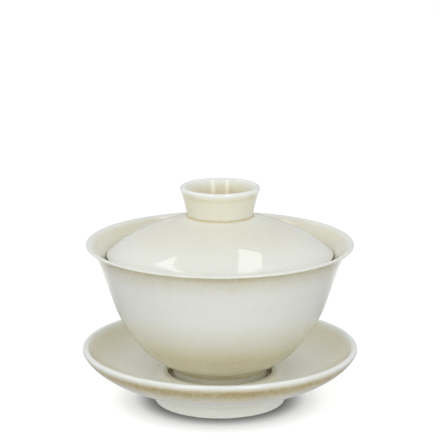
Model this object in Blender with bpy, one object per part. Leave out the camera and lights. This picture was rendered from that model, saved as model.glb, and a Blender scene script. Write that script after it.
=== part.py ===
"""A gaiwan: a lidded porcelain tea bowl on its saucer, as three loose pieces.

The frame is metres, +Z up, with the origin on the table under the middle of the saucer's foot ring.
Every piece is turned about the Z axis. An outline is a run of (radius, height) points in millimetres, in
the piece's own frame. It starts on the axis at the underside, goes out under the foot ring, up the
outside, over the lip, and down the inside back to the axis.
"""

import math

import bmesh
import bpy

MM = 0.001
SEGMENTS = 60  # facets round every turned piece, all in step so that the gaps stay even
CONTACT_GAP = 0.3  # air left between pieces that rest on each other

# Saucer
SAUCER_RADIUS = 50.7
SAUCER_HEIGHT = 21.0
SAUCER_LIP = 2.2
SAUCER_FOOT_RADIUS = 24.2
SAUCER_FOOT_HEIGHT = 4.8
SAUCER_FOOT_WIDTH = 3.4
SAUCER_RECESS = 4.6
WELL_FLOOR = 8.0
WELL_RADIUS = 19.0
COLLAR_TOP = 11.6
COLLAR_RADIUS = 20.5
DISH_RADIUS = 23.6
DISH_FLOOR = 10.2

# Bowl, from the bottom of its own foot ring
BOWL_RADIUS = 49.0
BOWL_HEIGHT = 51.6
BOWL_LIP = 1.4
BOWL_FOOT_RADIUS = 17.5
BOWL_FOOT_HEIGHT = 4.5
BOWL_FOOT_WIDTH = 2.8
BOWL_RECESS = 4.3
BOWL_BEAD_RADIUS = 18.0
BOWL_BEAD_HEIGHT = 1.0
BOWL_FLOOR = 7.4
BOWL_SEAT_RADIUS = 41.0
BOWL_SEAT_HEIGHT = 45.9

# Lid, from the lowest point of its edge
LID_SEAT = 53.3  # height of that point above the table
LID_RADIUS = 40.7
LID_EDGE = 2.0
DOME_HEIGHT = 16.8
KNOB_BASE_RADIUS = 12.0
KNOB_RADIUS = 14.55
KNOB_TOP = 27.5
KNOB_LIP = 1.7
KNOB_FLOOR = 17.0

GLAZE_COLOUR = (0.79, 0.78, 0.66, 1.0)
GLAZE_ROUGHNESS = 0.08


class Outline:
    """A turned piece's outline, drawn from point to point with straight lines and curves."""

    def __init__(self, radius, height):
        self.points = [(radius, height)]

    def line(self, *ends):
        self.points.extend(ends)

    def bend(self, corner, end, steps=3):
        """A rounded corner: it leaves towards the corner and arrives from it."""
        self.blend((self.points[-1], corner, end), (1, 2, 1), steps)

    def curve(self, leave, arrive, end, steps):
        """A cubic curve, with the control points that it leaves towards and arrives from."""
        self.blend((self.points[-1], leave, arrive, end), (1, 3, 3, 1), steps)

    def blend(self, controls, binomials, steps):
        degree = len(controls) - 1
        for step in range(1, steps + 1):
            t = step / steps
            weights = [b * (1 - t) ** (degree - i) * t**i for i, b in enumerate(binomials)]
            self.points.append(tuple(sum(w * p[axis] for w, p in zip(weights, controls)) for axis in (0, 1)))


def draw_foot_ring(outline, radius, width, recess):
    """From the middle of the recess under a piece, out under its foot ring to the ring's outer face."""
    inner = radius - width
    outline.line((inner - 1.4, recess))
    outline.bend((inner - 0.2, recess), (inner, recess - 1.3), 2)
    outline.line((inner + 0.3, 0.5), (inner + 0.7, 0.0))
    outline.line((radius - 0.6, 0.0), (radius - 0.2, 0.4))


def saucer_outline():
    top = SAUCER_HEIGHT
    inside = SAUCER_RADIUS - SAUCER_LIP
    outline = Outline(0.0, SAUCER_RECESS)
    draw_foot_ring(outline, SAUCER_FOOT_RADIUS, SAUCER_FOOT_WIDTH, SAUCER_RECESS)
    outline.line((SAUCER_FOOT_RADIUS + 0.2, SAUCER_FOOT_HEIGHT))
    outline.curve((35.8, 8.2), (46.8, 12.4), (SAUCER_RADIUS - 0.1, top - 1.6), 9)
    outline.curve((SAUCER_RADIUS + 0.2, top - 0.5), (inside + 1.6, top), (inside + 1.0, top), 3)
    outline.bend((inside, top), (inside - 0.3, top - 1.0), 2)
    outline.curve((43.8, 14.6), (35.6, 11.6), (DISH_RADIUS, DISH_FLOOR), 8)
    outline.curve((22.4, DISH_FLOOR), (22.4, COLLAR_TOP), (COLLAR_RADIUS, COLLAR_TOP), 4)
    outline.bend((WELL_RADIUS, COLLAR_TOP), (WELL_RADIUS, COLLAR_TOP - 1.2), 2)
    outline.bend((WELL_RADIUS - 0.1, WELL_FLOOR), (WELL_RADIUS - 1.2, WELL_FLOOR), 2)
    outline.line((0.0, WELL_FLOOR))
    return outline.points


def bowl_outline():
    top = BOWL_HEIGHT
    foot = BOWL_FOOT_HEIGHT
    bead = foot + BOWL_BEAD_HEIGHT
    inside = BOWL_RADIUS - BOWL_LIP
    outline = Outline(0.0, BOWL_RECESS)
    draw_foot_ring(outline, BOWL_FOOT_RADIUS, BOWL_FOOT_WIDTH, BOWL_RECESS)
    outline.line((BOWL_FOOT_RADIUS, foot), (BOWL_BEAD_RADIUS, foot + 0.2), (BOWL_BEAD_RADIUS, bead))
    outline.curve((24.4, 6.6), (34.8, 16.8), (39.2, 30.2), 9)
    outline.curve((42.4, 39.8), (44.4, 49.4), (BOWL_RADIUS - 0.4, top - 1.0), 7)
    outline.curve((BOWL_RADIUS + 0.2, top - 0.7), (BOWL_RADIUS, top), (BOWL_RADIUS - 0.7, top), 3)
    outline.curve((inside - 1.0, top - 0.1), (43.2, 48.6), (BOWL_SEAT_RADIUS, BOWL_SEAT_HEIGHT), 5)
    outline.curve((40.0, 43.0), (38.6, 36.6), (36.6, 29.8), 5)
    outline.curve((32.2, 16.4), (20.0, BOWL_FLOOR), (0.0, BOWL_FLOOR), 10)
    return outline.points


def lid_outline():
    edge = LID_EDGE
    base = KNOB_BASE_RADIUS
    inside = KNOB_RADIUS - KNOB_LIP
    outline = Outline(0.0, DOME_HEIGHT - 2.4)
    outline.curve((14.0, 14.0), (28.0, 10.4), (LID_RADIUS - edge, 0.5), 9)
    outline.bend((LID_RADIUS - 1.3, -0.2), (LID_RADIUS - 0.6, 0.1), 2)
    outline.curve((LID_RADIUS + 0.1, 0.5), (LID_RADIUS + 0.1, 1.2), (LID_RADIUS - 0.5, 2.0), 3)
    outline.curve((29.3, 11.9), (13.5, 15.4), (base, DOME_HEIGHT), 9)
    outline.curve((base + 0.7, DOME_HEIGHT + 3.5), (KNOB_RADIUS - 0.9, KNOB_TOP - 3.0), (KNOB_RADIUS, KNOB_TOP - 0.8), 5)
    outline.curve((KNOB_RADIUS + 0.1, KNOB_TOP - 0.2), (inside + 1.4, KNOB_TOP), (inside + 0.9, KNOB_TOP), 2)
    outline.bend((inside, KNOB_TOP), (inside - 0.2, KNOB_TOP - 1.0), 2)
    outline.line((base - 1.9, KNOB_FLOOR + 1.8))
    outline.bend((base - 2.3, KNOB_FLOOR), (base - 4.2, KNOB_FLOOR), 3)
    outline.line((0.0, KNOB_FLOOR))
    return outline.points


def turned(name, outline, height, material):
    """The solid made by turning an outline about Z, with its own zero at a height above the table."""
    shape = bmesh.new()
    rim = [shape.verts.new((radius * MM, 0.0, z * MM)) for radius, z in outline]
    edges = [shape.edges.new(pair) for pair in zip(rim, rim[1:])]
    bmesh.ops.spin(
        shape,
        geom=rim + edges,
        cent=(0.0, 0.0, 0.0),
        axis=(0.0, 0.0, 1.0),
        angle=2 * math.pi,
        steps=SEGMENTS,
    )
    bmesh.ops.remove_doubles(shape, verts=shape.verts, dist=0.001 * MM)
    bmesh.ops.recalc_face_normals(shape, faces=shape.faces)
    mesh = bpy.data.meshes.new(name)
    shape.to_mesh(mesh)
    shape.free()
    mesh.materials.append(material)
    mesh.shade_smooth()
    mesh.set_sharp_from_angle(angle=math.radians(40))
    piece = bpy.data.objects.new(name, mesh)
    piece.location = (0.0, 0.0, height * MM)
    bpy.context.scene.collection.objects.link(piece)


def glazed_porcelain(name):
    material = bpy.data.materials.new(name)
    material.use_nodes = True
    shader = material.node_tree.nodes["Principled BSDF"]
    shader.inputs["Base Color"].default_value = GLAZE_COLOUR
    shader.inputs["Roughness"].default_value = GLAZE_ROUGHNESS
    shader.inputs["Metallic"].default_value = 0.0
    return material


def main():
    for old in list(bpy.data.objects):
        bpy.data.objects.remove(old)
    turned("saucer", saucer_outline(), 0.0, glazed_porcelain("saucer_glaze"))
    turned("bowl", bowl_outline(), WELL_FLOOR + CONTACT_GAP, glazed_porcelain("bowl_glaze"))
    turned("lid", lid_outline(), LID_SEAT, glazed_porcelain("lid_glaze"))


main()
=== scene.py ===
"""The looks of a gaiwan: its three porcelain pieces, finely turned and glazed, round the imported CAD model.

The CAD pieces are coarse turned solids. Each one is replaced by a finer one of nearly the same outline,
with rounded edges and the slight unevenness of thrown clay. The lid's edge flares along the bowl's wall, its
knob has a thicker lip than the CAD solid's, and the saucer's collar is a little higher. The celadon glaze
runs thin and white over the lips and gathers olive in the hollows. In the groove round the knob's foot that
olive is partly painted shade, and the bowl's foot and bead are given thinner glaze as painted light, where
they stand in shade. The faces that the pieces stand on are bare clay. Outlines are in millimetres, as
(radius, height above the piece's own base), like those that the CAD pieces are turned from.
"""

import math

import bpy
import numpy as np
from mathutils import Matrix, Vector, noise


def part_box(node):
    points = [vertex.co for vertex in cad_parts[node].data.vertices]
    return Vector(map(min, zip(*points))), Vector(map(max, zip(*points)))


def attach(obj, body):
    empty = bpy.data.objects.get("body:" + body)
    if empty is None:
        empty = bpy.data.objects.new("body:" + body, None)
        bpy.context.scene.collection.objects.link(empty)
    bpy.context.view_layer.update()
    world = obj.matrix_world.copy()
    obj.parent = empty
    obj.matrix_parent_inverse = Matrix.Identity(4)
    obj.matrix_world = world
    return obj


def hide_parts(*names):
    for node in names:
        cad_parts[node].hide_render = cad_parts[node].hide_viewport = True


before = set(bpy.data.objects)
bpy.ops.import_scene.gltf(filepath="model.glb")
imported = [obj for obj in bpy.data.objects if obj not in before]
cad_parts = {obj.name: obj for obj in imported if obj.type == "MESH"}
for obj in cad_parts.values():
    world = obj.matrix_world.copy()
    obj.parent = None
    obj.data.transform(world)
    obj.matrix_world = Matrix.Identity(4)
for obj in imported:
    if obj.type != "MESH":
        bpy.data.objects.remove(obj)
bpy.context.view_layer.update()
MM = 0.001
WHITE = (1.0, 1.0, 1.0, 1.0)
BLACK = (0.0, 0.0, 0.0, 1.0)

SAUCER_LOW, SAUCER_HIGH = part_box("saucer")
BOWL_LOW, BOWL_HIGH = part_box("bowl")
LID_LOW, LID_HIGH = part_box("lid")


# ---------------------------------------------------------------- outlines


SPACING = 0.55  # mm between neighbouring points along an outline
FEWEST_STEPS = 3  # along its shortest stretches


class Outline:
    """A turned piece's outline, drawn from point to point with straight lines and curves."""

    def __init__(self, radius, height):
        self.points = [np.array((radius, height))]

    def line(self, end):
        self.blend((self.points[-1], end), (1, 1))

    def bend(self, corner, end):
        """A rounded corner: it leaves towards the corner and arrives from it."""
        self.blend((self.points[-1], corner, end), (1, 2, 1))

    def curve(self, leave, arrive, end):
        """A cubic curve, with the control points that it leaves towards and arrives from."""
        self.blend((self.points[-1], leave, arrive, end), (1, 3, 3, 1))

    def blend(self, controls, binomials):
        degree = len(controls) - 1
        controls = np.array([tuple(c) for c in controls], float)
        length = np.linalg.norm(np.diff(controls, axis=0), axis=1).sum()
        steps = max(FEWEST_STEPS, math.ceil(length / SPACING))
        for step in range(1, steps + 1):
            t = step / steps
            weights = [b * (1 - t) ** (degree - i) * t**i for i, b in enumerate(binomials)]
            self.points.append(np.array(weights) @ controls)


def outline_with_foot(radius, width, recess):
    """An outline as far as a foot ring's outer bottom edge, from the middle of the recess in the ring."""
    inner = radius - width
    outline = Outline(0.0, recess)
    outline.line((inner - 1.6, recess))
    outline.bend((inner - 0.1, recess), (inner, recess - 1.4))
    outline.line((inner + 0.3, 0.8))
    outline.bend((inner + 0.4, 0.0), (inner + 1.0, 0.0))
    outline.line((radius - 0.75, 0.0))
    outline.bend((radius - 0.15, 0.0), (radius - 0.1, 0.55))
    return outline


def saucer_outline():
    edge = SAUCER_HIGH.x / MM
    top = (SAUCER_HIGH.z - SAUCER_LOW.z) / MM
    foot, foot_height, foot_width, recess = 24.2, 4.8, 3.4, 4.6
    collar_top, well_floor = 11.8, 8.0
    inside = edge - 2.2
    outline = outline_with_foot(foot, foot_width, recess)
    outline.line((foot + 0.1, foot_height - 1.3))
    outline.bend((foot + 0.2, foot_height - 0.1), (foot + 1.8, foot_height + 0.35))
    outline.curve((35.8, 8.2), (46.8, 12.4), (edge - 0.1, top - 1.6))
    outline.curve((edge + 0.2, top - 0.5), (inside + 1.7, top), (inside + 1.0, top))
    outline.curve((inside + 0.3, top), (inside, top - 0.4), (inside - 0.3, top - 1.0))
    outline.curve((43.8, 14.6), (35.6, 11.4), (25.2, 10.4))
    outline.curve((23.2, 10.2), (22.9, collar_top), (20.9, collar_top))
    outline.curve((19.6, collar_top), (19.05, 11.3), (19.0, 10.4))
    outline.line((18.85, well_floor + 1.2))
    outline.bend((18.75, well_floor), (17.4, well_floor))
    outline.line((0.0, well_floor))
    return outline.points


def bowl_outline():
    edge = BOWL_HIGH.x / MM
    top = (BOWL_HIGH.z - BOWL_LOW.z) / MM
    foot, foot_height, foot_width, recess = 17.5, 4.5, 2.8, 4.3
    bead, bead_top = 18.0, foot_height + 1.1
    inside, floor = edge - 1.4, 7.4
    outline = outline_with_foot(foot, foot_width, recess)
    outline.line((foot - 0.05, foot_height - 0.4))
    outline.bend((foot, foot_height), (foot + 0.25, foot_height + 0.05))
    outline.bend((bead, foot_height + 0.1), (bead, foot_height + 0.4))
    outline.line((bead, bead_top - 0.3))
    outline.bend((bead, bead_top + 0.2), (bead + 0.7, bead_top + 0.35))
    outline.curve((24.4, 6.8), (34.8, 16.8), (39.2, 30.2))
    outline.curve((42.6, 39.7), (44.5, 49.3), (edge - 0.4, top - 1.0))
    outline.curve((edge + 0.15, top - 0.7), (edge, top), (edge - 0.7, top))
    outline.curve((inside - 1.0, top - 0.1), (43.2, 48.6), (41.05, 45.9))
    outline.curve((40.0, 43.0), (38.6, 36.6), (36.6, 29.8))
    outline.curve((32.2, 16.4), (20.0, floor), (0.0, floor))
    return outline.points


def lid_outline():
    edge = LID_HIGH.x / MM
    top = (LID_HIGH.z - LID_LOW.z) / MM
    dome, thickness = 16.8, 2.4
    neck, knob, knob_floor = 12.0, 14.55, 17.0
    outline = Outline(0.0, dome - thickness)
    outline.curve((14.0, 14.0), (28.0, 10.4), (edge - 2.0, 0.7))
    outline.bend((edge - 1.6, 0.1), (edge - 1.1, 0.05))
    outline.bend((edge - 0.6, 0.05), (edge - 0.35, 0.4))
    outline.line((edge + 0.4, 1.5))
    outline.line((edge + 0.8, 2.05))
    outline.curve((edge + 0.98, 2.32), (edge + 0.5, 2.24), (edge - 0.3, 2.9))
    outline.curve((29.3, 12.1), (14.4, 15.1), (neck + 1.5, dome - 0.5))
    outline.bend((neck - 0.1, dome - 0.15), (neck + 0.15, dome + 1.0))
    outline.curve((neck + 0.8, dome + 4.0), (knob - 0.9, top - 3.0), (knob, top - 1.1))
    outline.curve((knob + 0.1, top - 0.3), (knob - 0.5, top), (knob - 1.15, top))
    outline.curve((knob - 1.8, top), (knob - 2.3, top - 0.4), (knob - 2.55, top - 1.3))
    outline.line((neck - 2.3, knob_floor + 2.2))
    outline.bend((neck - 2.8, knob_floor), (neck - 5.0, knob_floor))
    outline.line((0.0, knob_floor))
    return outline.points


# ---------------------------------------------------------------- turning


SEGMENTS = 288  # round each piece
SAG_SIZE = 21.0  # mm across the hollows in the clay
SHIFT_SIZES = (9.0, 3.1)  # mm across the waves, long and short, in the lines where the glaze thickens
RISE = 1.6  # how much closer together both are up the piece than round it
# The glaze thickens unevenly: its distances from the lip wander by this part, counted up to this many mm.
GLAZE_WANDER = 0.08
WANDER_WITHIN = 3.5
# How strongly the glaze is streaked, against the distance from the lip in mm.
STREAKS = ((-20.0, 0.35), (-10.0, 1.0), (0.0, 1.0), (8.0, 0.5))


def lip_distance(points):
    """How far along the surface each point lies from the lip, in mm: outside it below 0, inside above."""
    run = np.concatenate([[0.0], np.cumsum(np.linalg.norm(np.diff(points, axis=0), axis=1))])
    return run - run[int(np.argmax(points[:, 1]))]


def turned(name, outline, low, glaze_and_painted_light, seed, sag_depth, streakiness):
    """A finely turned piece, its clay sunk here and there. Its points stay on or inside the outline.

    Point attributes hold how thick its glaze is, given at distances from the lip, and how streaky. In places
    the thickness paints light and shade.
    """
    points = np.array(outline)
    heading = np.gradient(points, axis=0)
    heading /= np.linalg.norm(heading, axis=1)[:, None]
    inward = np.stack([-heading[:, 1], heading[:, 0]], 1)
    distance = lip_distance(points)
    long_size, short_size = SHIFT_SIZES
    vertices, shift = [], []
    for angle in (2 * math.pi * i / SEGMENTS for i in range(SEGMENTS)):
        c, s = math.cos(angle), math.sin(angle)
        for (radius, height), (in_r, in_z) in zip(points[1:-1], inward[1:-1]):
            place = Vector((radius * c, radius * s, height * RISE + seed))
            sag = sag_depth * (0.5 + 0.5 * noise.noise(place / SAG_SIZE))
            r, z = radius + in_r * sag, height + in_z * sag
            vertices.append((r * c * MM, r * s * MM, low.z + z * MM))
            shift.append(noise.noise(place / long_size) + 0.5 * noise.noise(place / short_size))
    ring = len(points) - 2
    bottom, top = len(vertices), len(vertices) + 1
    vertices += [(0.0, 0.0, low.z + points[0][1] * MM), (0.0, 0.0, low.z + points[-1][1] * MM)]
    where = np.tile(distance[1:-1], SEGMENTS)
    where = where + GLAZE_WANDER * np.clip(where, -WANDER_WITHIN, WANDER_WITHIN) * np.array(shift)
    where = np.concatenate([where, distance[[0, -1]]])
    thickness = np.interp(where, *zip(*glaze_and_painted_light))
    streaks = streakiness * np.interp(where, *zip(*STREAKS))
    faces = []
    for i in range(SEGMENTS):
        a, b = i * ring, (i + 1) % SEGMENTS * ring
        faces.append((bottom, b, a))
        faces += [(a + k, b + k, b + k + 1, a + k + 1) for k in range(ring - 1)]
        faces.append((top, a + ring - 1, b + ring - 1))
    mesh = bpy.data.meshes.new(name)
    mesh.from_pydata(vertices, [], faces)
    for label, values in (("glaze_and_painted_light", thickness), ("streaks", streaks)):
        mesh.attributes.new(label, "FLOAT", "POINT").data.foreach_set("value", values.astype(np.float32))
    mesh.shade_smooth()
    piece = bpy.data.objects.new(name, mesh)
    bpy.context.scene.collection.objects.link(piece)
    return piece


# ---------------------------------------------------------------- materials


class Nodes:
    """Short forms for building a node tree."""

    def __init__(self, tree):
        self.tree = tree

    def plug(self, socket, value):
        if isinstance(value, bpy.types.NodeSocket):
            self.tree.links.new(value, socket)
        else:
            socket.default_value = value

    def operate(self, kind, operation, values):
        made = self.tree.nodes.new(kind)
        made.operation = operation
        for socket, value in zip(made.inputs, values):
            self.plug(socket, value)
        return made.outputs

    def maths(self, operation, *values):
        return self.operate("ShaderNodeMath", operation, values)[0]

    def vector_maths(self, operation, *values):
        """The outputs, Vector and Value, of which an operation fills one."""
        return self.operate("ShaderNodeVectorMath", operation, values)

    def attribute(self, name):
        made = self.tree.nodes.new("ShaderNodeAttribute")
        made.attribute_name = name
        return made.outputs["Fac"]

    def place(self, kind="Object"):
        """The point on an object, in metres, which moves with it. In the world, Generated is the way out."""
        return self.tree.nodes.new("ShaderNodeTexCoord").outputs[kind]

    def part_of_place(self, axis):
        made = self.tree.nodes.new("ShaderNodeSeparateXYZ")
        self.plug(made.inputs[0], self.place())
        return made.outputs[axis]

    def noise(self, waves, detail=2.0, roughness=0.5):
        """Noise with this many waves to the metre, given once or for each axis."""
        waves = waves if isinstance(waves, tuple) else (waves,) * 3
        made = self.tree.nodes.new("ShaderNodeTexNoise")
        self.plug(made.inputs["Vector"], self.vector_maths("MULTIPLY", self.place(), waves)["Vector"])
        made.inputs["Scale"].default_value = 1.0
        made.inputs["Detail"].default_value = detail
        made.inputs["Roughness"].default_value = roughness
        return made.outputs["Fac"]

    def ease(self, value, low, high, to_low=0.0, to_high=1.0):
        """A smooth step from one number to another while the value goes from low to high."""
        made = self.tree.nodes.new("ShaderNodeMapRange")
        made.interpolation_type = "SMOOTHSTEP"
        self.plug(made.inputs["Value"], value)
        for label, number in (("From Min", low), ("From Max", high), ("To Min", to_low), ("To Max", to_high)):
            self.plug(made.inputs[label], number)
        return made.outputs["Result"]

    def swing(self, pattern, levels, depth):
        """A noise pattern as a number from -depth to depth, which it reaches at these levels."""
        return self.ease(pattern, *levels, -depth, depth)

    def mix(self, factor, a, b):
        made = self.tree.nodes.new("ShaderNodeMix")
        made.data_type = "RGBA"
        self.plug(made.inputs[0], factor)
        self.plug(made.inputs[6], a)
        self.plug(made.inputs[7], b)
        return made.outputs[2]

    def seen_by_camera(self):
        return self.tree.nodes.new("ShaderNodeLightPath").outputs["Is Camera Ray"]


def new_material(name):
    """A material, its nodes and the inputs of its shader."""
    material = bpy.data.materials.new(name)
    material.use_nodes = True
    tree = material.node_tree
    return material, Nodes(tree), tree.nodes["Principled BSDF"].inputs


PORCELAIN = (0.92, 0.95, 0.92)
STAIN = (0.35, 0.52, 1.0)  # how fast the glaze takes out red, green and blue as it thickens
THICKEST = 1.5
RAMP_STOPS = 7
# Patterns in the glaze, by their waves to the metre. Streaks and clouds go up and down by a part of the
# glaze's thickness, and the finest pattern by a thickness.
STREAK_WAVES, STREAK_DEPTH = (650.0, 650.0, 260.0), 0.20
CLOUD_WAVES, CLOUD_DEPTH = 60.0, 0.12
FINE_WAVES, FINE_DEPTH = 420.0, 0.025
MOTTLE_LEVELS, FINE_LEVELS = (0.25, 0.75), (0.2, 0.8)
# Specks, one at most to a cell, with the distances from a cell's middle where one thins out and ends.
SPECK = (0.20, 0.15, 0.09, 1.0)
SPECK_CELLS = 95.0  # to the metre
SPECK_THINS, SPECK_ENDS = 0.016, 0.034  # of a cell
SPECK_STRENGTH = 0.7
SPECKLESS = 0.72  # the part of the cells without one
# Bare clay, from a piece's base up to a wandering line. Heights are in mm and waves are to the metre.
BARE_CLAY = (0.62, 0.57, 0.48, 1.0)
BARE_CLAY_DARK = (0.52, 0.46, 0.37, 1.0)
BARE_TOP, BARE_SOFTNESS = 0.3, 0.06
BARE_WAVES, BARE_WANDER = 160.0, 0.2
GRAIN_WAVES, GRAIN_LEVELS = 2600.0, (0.35, 0.7)
# The surface's relief, by its waves to the metre and its depth in metres.
SWELL_WAVES, SWELL_RELIEF = 70.0, 45e-6
PEEL_WAVES, PEEL_RELIEF = 700.0, 1.2e-6
GRAIN_RELIEF = 30e-6
GLAZE_ROUGHNESS, CLAY_ROUGHNESS = 0.16, 0.78
GLAZE_SPECULAR, CLAY_SPECULAR = 0.0, 0.3  # under the coat, which gives the glaze its gloss
COAT_ROUGHNESS = 0.02
SCATTER_WEIGHT, SCATTER_RADIUS = 0.25, (0.0020, 0.0017, 0.0012)  # metres, for red, green and blue


def glaze_colour(n):
    """Porcelain's white through the glaze, which takes out more of it where it is thicker. In places the
    thickness paints light and shade.
    """
    streak = n.swing(n.noise(STREAK_WAVES, 3.0, 0.6), MOTTLE_LEVELS, STREAK_DEPTH)
    streak = n.maths("MULTIPLY", streak, n.attribute("streaks"))
    mottle = n.maths("ADD", streak, n.swing(n.noise(CLOUD_WAVES, 3.0), MOTTLE_LEVELS, CLOUD_DEPTH))
    # The glaze thickness, which in the lid's knob groove is partly painted shade and on the bowl's foot is
    # painted light.
    amount = n.maths("MULTIPLY", n.attribute("glaze_and_painted_light"), n.maths("ADD", 1.0, mottle))
    amount = n.maths("ADD", amount, n.swing(n.noise(FINE_WAVES, 4.0, 0.6), FINE_LEVELS, FINE_DEPTH))
    ramp = n.tree.nodes.new("ShaderNodeValToRGB")
    elements = ramp.color_ramp.elements
    elements.remove(elements[1])
    for stop in range(RAMP_STOPS):
        part = stop / (RAMP_STOPS - 1)
        element = elements[0] if stop == 0 else elements.new(part)
        element.position = part
        left = [white * math.exp(-rate * part * THICKEST) for white, rate in zip(PORCELAIN, STAIN)]
        element.color = (*left, 1.0)
    n.plug(ramp.inputs[0], n.maths("DIVIDE", amount, THICKEST))
    return ramp.outputs[0]


def speck_strength(n):
    cells = n.tree.nodes.new("ShaderNodeTexVoronoi")
    n.plug(cells.inputs["Vector"], n.place())
    cells.inputs["Scale"].default_value = SPECK_CELLS
    chance = n.tree.nodes.new("ShaderNodeSeparateColor")
    n.plug(chance.inputs[0], cells.outputs["Color"])
    dot = n.ease(cells.outputs["Distance"], SPECK_THINS, SPECK_ENDS, SPECK_STRENGTH, 0.0)
    return n.maths("MULTIPLY", dot, n.maths("GREATER_THAN", chance.outputs[0], SPECKLESS))


def bareness(n, base_height):
    """1 on bare clay and 0 on glaze, by the height above a piece's base, which is given in metres."""
    rise = n.maths("MULTIPLY", n.maths("SUBTRACT", n.part_of_place("Z"), base_height), 1 / MM)
    wander = n.swing(n.noise(BARE_WAVES, 2.0), (0.0, 1.0), BARE_WANDER)
    clay_ends, glaze_begins = BARE_TOP - BARE_SOFTNESS, BARE_TOP + BARE_SOFTNESS
    return n.ease(n.maths("ADD", rise, wander), clay_ends, glaze_begins, 1.0, 0.0)


def relief(n, grain, bare):
    """A bump map: slow swells and orange peel all over, and grain on the bare clay."""
    swell = n.maths("MULTIPLY", n.noise(SWELL_WAVES, 1.0), SWELL_RELIEF)
    peel = n.maths("MULTIPLY", n.noise(PEEL_WAVES, 1.0), PEEL_RELIEF)
    rough = n.maths("MULTIPLY", n.maths("MULTIPLY", grain, bare), GRAIN_RELIEF)
    bump = n.tree.nodes.new("ShaderNodeBump")
    n.plug(bump.inputs["Height"], n.maths("ADD", n.maths("ADD", swell, peel), rough))
    bump.inputs["Strength"].default_value = 1.0
    bump.inputs["Distance"].default_value = 1.0
    return bump.outputs[0]


def celadon(name, base_height):
    """Celadon over white porcelain, with bare clay where the piece stands."""
    material, n, shader = new_material(name)
    bare = bareness(n, base_height)
    grain = n.noise(GRAIN_WAVES, 3.0, 0.7)
    clay = n.mix(n.ease(grain, *GRAIN_LEVELS), BARE_CLAY_DARK, BARE_CLAY)
    glazed = n.mix(speck_strength(n), glaze_colour(n), SPECK)
    n.plug(shader["Base Color"], n.mix(bare, glazed, clay))
    n.plug(shader["Roughness"], n.ease(bare, 0.0, 1.0, GLAZE_ROUGHNESS, CLAY_ROUGHNESS))
    n.plug(shader["Specular IOR Level"], n.ease(bare, 0.0, 1.0, GLAZE_SPECULAR, CLAY_SPECULAR))
    n.plug(shader["Coat Weight"], n.ease(bare, 0.0, 1.0, 1.0, 0.0))
    shader["Coat Roughness"].default_value = COAT_ROUGHNESS
    shader["Subsurface Weight"].default_value = SCATTER_WEIGHT
    shader["Subsurface Radius"].default_value = SCATTER_RADIUS
    shader["Subsurface Scale"].default_value = 1.0
    n.plug(shader["Normal"], relief(n, grain, bare))
    return material


# ---------------------------------------------------------------- the three pieces


# Glaze thickness against distance from the lip in mm, first on the outside, then on the inside.
# On the lid and the bowl some stretches of it are painted shade and painted light, as noted at their tables.
SAUCER_GLAZE = (
    (-60.0, 0.18), (-37.5, 0.06), (-35.0, 0.13), (-32.0, 0.16), (-17.6, 0.14), (-13.0, 0.18),
    (-10.3, 0.36), (-8.1, 0.62), (-6.5, 1.00), (-5.2, 1.34), (-4.0, 1.36), (-2.8, 0.50), (-1.4, 0.02),
    (0.0, 0.0), (1.3, 0.04), (3.2, 0.40), (6.0, 0.42), (10.0, 0.26), (16.0, 0.11), (22.0, 0.11),
    (27.0, 0.18), (31.5, 0.24), (33.0, 0.60), (36.0, 1.00), (60.0, 0.80),
)
# On the bowl, the glaze from -62 to -59.8 mm, over the foot wall and the bead, is kept thin as painted light:
# it lightens them where they stand in shade, in the gap between the bowl and the saucer's collar.
BOWL_GLAZE_AND_PAINTED_LIGHT = (
    (-80.0, 0.30), (-62.0, 0.24), (-59.8, 0.28), (-58.8, 0.95), (-57.8, 0.48), (-52.0, 0.54),
    (-46.0, 0.58), (-42.0, 0.62), (-38.0, 0.45), (-34.0, 0.28), (-30.0, 0.18), (-26.0, 0.13),
    (-23.0, 0.07), (-12.0, 0.08), (-9.0, 0.17), (-6.3, 0.28), (-4.6, 0.42), (-3.2, 0.58), (-2.3, 0.62),
    (-1.2, 0.30), (-0.5, 0.12), (0.0, 0.03), (1.2, 0.10), (3.0, 0.36), (6.0, 0.34), (14.0, 0.26),
    (40.0, 0.24), (90.0, 0.30),
)
# On the lid, the thick glaze from -12.5 to -11.1 mm, in the groove round the knob's foot, is partly pooled
# glaze and partly painted shade: it darkens the groove where the knob meets the lid.
LID_GLAZE_AND_PAINTED_SHADE = (
    (-90.0, 0.20), (-47.0, 0.20), (-44.2, 0.30), (-43.2, 0.06), (-38.0, 0.11), (-33.5, 0.15),
    (-30.0, 0.19), (-26.0, 0.23), (-20.0, 0.23), (-14.0, 0.20), (-12.5, 0.22), (-12.0, 1.0), (-11.6, 1.0),
    (-11.1, 0.26), (-8.6, 0.32), (-6.3, 0.32), (-5.0, 0.32), (-3.7, 0.50), (-2.6, 0.22), (-1.3, 0.02),
    (0.0, 0.0), (1.2, 0.03), (2.4, 0.16), (3.8, 0.32), (5.2, 0.52), (7.0, 0.75), (11.0, 0.90),
    (16.0, 0.60),
)
# Each piece's node, outline, lowest corner and glaze thickness with its painted light and shade, where its
# noise is taken from, how deep in mm its clay sinks, and how streaky its glaze is.
PIECES = (
    ("saucer", saucer_outline, SAUCER_LOW, SAUCER_GLAZE, 0.0, 0.10, 1.0),
    ("bowl", bowl_outline, BOWL_LOW, BOWL_GLAZE_AND_PAINTED_LIGHT, 40.0, 0.10, 1.0),
    ("lid", lid_outline, LID_LOW, LID_GLAZE_AND_PAINTED_SHADE, 80.0, 0.08, 0.4),
)


def make_piece(node, outline, low, *finish):
    piece = turned("porcelain_" + node, outline(), low, *finish)
    piece.data.materials.append(celadon(node + "_celadon", low.z))
    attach(piece, node)
    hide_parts(node)


# ---------------------------------------------------------------- studio


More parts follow.
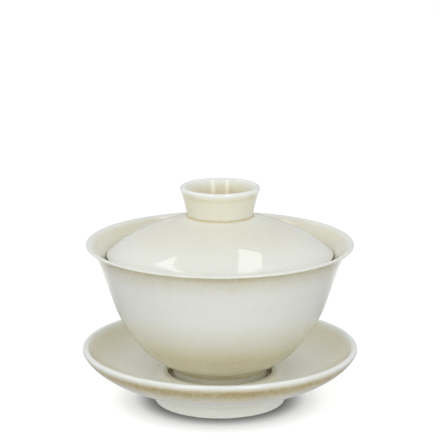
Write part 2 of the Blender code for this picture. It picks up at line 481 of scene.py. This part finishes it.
# Distances are in metres, and the lens and sensor in mm.
CAMERA_DISTANCE = 0.7431
CAMERA_ELEVATION = math.radians(13.59)
CAMERA_AIM = Vector((0.0, 0.0, 0.068))
CAMERA_LENS, CAMERA_SENSOR = 167.16, 36.0
CAMERA_NEAR, CAMERA_FAR = 0.01, 100.0
TABLE_SIZE = 60.0
TABLE_GREY = (0.30, 0.30, 0.30, 1.0)
# How strongly the table glows to the camera: two steps up, each with the distances from the middle where it
# begins and ends, and its size.
SEEN_GLOW = ((0.0235, 0.0330, 0.50), (0.028, 0.042, 0.32))
# How strongly it glows to everything else: near the middle, further out and far off, with the distances
# where it changes, and how much more in a band behind the saucer, with the distances back.
GLOW_NEAR, GLOW, GLOW_FAR, GLOW_BEHIND = 0.37, 0.10, 0.40, 0.40
NEAR_ENDS, FAR_BEGINS = (0.045, 0.090), (0.090, 0.180)
BEHIND_BEGINS, BEHIND_ENDS = (0.040, 0.120), (0.190, 0.260)
# Each overhead panel's name, strength and corners, on a ceiling one unit up.
CEILING = 1.6
OVERHEAD_LIGHTS = (
    ("overhead_right", 2.9, (
        (0.153, 0.033), (0.268, 0.073), (0.320, 0.119), (0.375, 0.223), (0.354, 0.376), (0.341, 0.533),
        (0.241, 0.519), (0.149, 0.495),
    )),
    ("overhead_left", 2.9, (
        (-0.285, 0.071), (-0.346, 0.141), (-0.386, 0.214), (-0.410, 0.305), (-0.376, 0.392), (-0.357, 0.477),
        (-0.441, 0.478), (-0.528, 0.485), (-0.629, 0.505), (-0.548, 0.349), (-0.453, 0.210), (-0.378, 0.135),
    )),
)
# Each front panel's name, strength, azimuths and elevations, in degrees.
LIGHT_DISTANCE = 1.5
FRONT_LIGHTS = (
    ("strip_left", 4.1, (-34.0, -20.0), (3.0, 55.0)),
    ("strip_right", 4.1, (20.0, 34.0), (3.0, 55.0)),
)
# The room glows all round, and more on some sides: each one's strength, azimuth and elevation, and the
# cosine of the angle from there at which it ends.
ROOM_GLOW = 0.08
ROOM_SIDES = (
    (0.20, (0.0, 8.0), 0.80),
    (0.44, (0.0, 30.0), 0.80),
    (0.16, (-50.0, 25.0), 0.70),
    (0.45, (50.0, 25.0), 0.70),
    (0.68, (-95.0, 20.0), 0.50),
    (0.36, (95.0, 20.0), 0.50),
    (0.63, (180.0, 20.0), 0.20),
)


def make_camera():
    data = bpy.data.cameras.new("camera")
    data.lens = CAMERA_LENS
    data.sensor_width = CAMERA_SENSOR
    data.clip_start, data.clip_end = CAMERA_NEAR, CAMERA_FAR
    camera = bpy.data.objects.new("camera", data)
    bpy.context.scene.collection.objects.link(camera)
    back = Vector((0.0, -math.cos(CAMERA_ELEVATION), math.sin(CAMERA_ELEVATION)))
    camera.location = CAMERA_AIM + back * CAMERA_DISTANCE
    camera.rotation_euler = (-back).to_track_quat("-Z", "Y").to_euler()
    bpy.context.scene.camera = camera


def make_sheet(name, corners, material):
    """A flat stage piece, given by its corners in metres."""
    mesh = bpy.data.meshes.new(name)
    mesh.from_pydata(corners, [], [tuple(range(len(corners)))])
    mesh.materials.append(material)
    sheet = bpy.data.objects.new(name, mesh)
    bpy.context.scene.collection.objects.link(sheet)
    return sheet


def make_floor():
    """A white table. What the camera sees of it glows away from the saucer, which keeps the shadow close."""
    material, n, shader = new_material("white_table")
    distance = n.vector_maths("LENGTH", n.place())["Value"]
    back = n.part_of_place("Y")
    seen = n.maths("ADD", *[n.ease(distance, low, high, 0.0, step) for low, high, step in SEEN_GLOW])
    near = n.ease(distance, *NEAR_ENDS, GLOW_NEAR, GLOW)
    bounce = n.maths("ADD", near, n.ease(distance, *FAR_BEGINS, 0.0, GLOW_FAR - GLOW))
    bounce = n.maths("ADD", bounce, n.ease(back, *BEHIND_BEGINS, 0.0, GLOW_BEHIND))
    bounce = n.maths("SUBTRACT", bounce, n.ease(back, *BEHIND_ENDS, 0.0, GLOW_BEHIND))
    shader["Base Color"].default_value = TABLE_GREY
    shader["Roughness"].default_value = 1.0
    shader["Specular IOR Level"].default_value = 0.0
    shader["Emission Color"].default_value = WHITE
    n.plug(shader["Emission Strength"], n.ease(n.seen_by_camera(), 0.0, 1.0, bounce, seen))
    half = TABLE_SIZE / 2
    corners = [(-half, -half, 0.0), (half, -half, 0.0), (half, half, 0.0), (-half, half, 0.0)]
    floor = make_sheet("floor", corners, material)


def make_panel(name, corners, strength):
    """A soft white light panel, which the camera doesn't see."""
    material, _, shader = new_material(name + "_glow")
    shader["Base Color"].default_value = BLACK
    shader["Emission Color"].default_value = WHITE
    shader["Emission Strength"].default_value = strength
    panel = make_sheet(name, corners, material)
    panel.visible_camera = False


def direction(azimuth, elevation):
    """The way to a light, from an azimuth to the right of the camera and a height above the horizon."""
    a, e = math.radians(azimuth), math.radians(elevation)
    return Vector((math.sin(a) * math.cos(e), -math.cos(a) * math.cos(e), math.sin(e)))


def make_lights():
    for name, strength, outline in OVERHEAD_LIGHTS:
        make_panel(name, [(x * CEILING, y * CEILING, CEILING) for x, y in outline], strength)
    for name, strength, (left, right), (low, high) in FRONT_LIGHTS:
        ways = ((left, low), (right, low), (right, high), (left, high))
        make_panel(name, [tuple(direction(*way) * LIGHT_DISTANCE) for way in ways], strength)


def make_world():
    """A pale room, brighter on some sides than on others. The camera sees it plain white."""
    world = bpy.data.worlds.new("studio")
    bpy.context.scene.world = world
    world.use_nodes = True
    n = Nodes(world.node_tree)
    way_out = n.place("Generated")
    glow = ROOM_GLOW
    for strength, way, reach in ROOM_SIDES:
        facing = n.vector_maths("DOT_PRODUCT", way_out, direction(*way))["Value"]
        glow = n.maths("ADD", glow, n.ease(facing, reach, 1.0, 0.0, strength))
    room = n.tree.nodes["Background"]
    backdrop = n.tree.nodes.new("ShaderNodeBackground")
    for background in (room, backdrop):
        background.inputs["Color"].default_value = WHITE
    n.plug(room.inputs["Strength"], glow)
    mix = n.tree.nodes.new("ShaderNodeMixShader")
    for socket, output in zip(mix.inputs, (n.seen_by_camera(), room.outputs[0], backdrop.outputs[0])):
        n.plug(socket, output)
    n.plug(n.tree.nodes["World Output"].inputs["Surface"], mix.outputs[0])
    bpy.context.scene.view_settings.view_transform = "Standard"


make_camera()
make_world()
make_floor()
make_lights()
for row in PIECES:
    make_piece(*row)
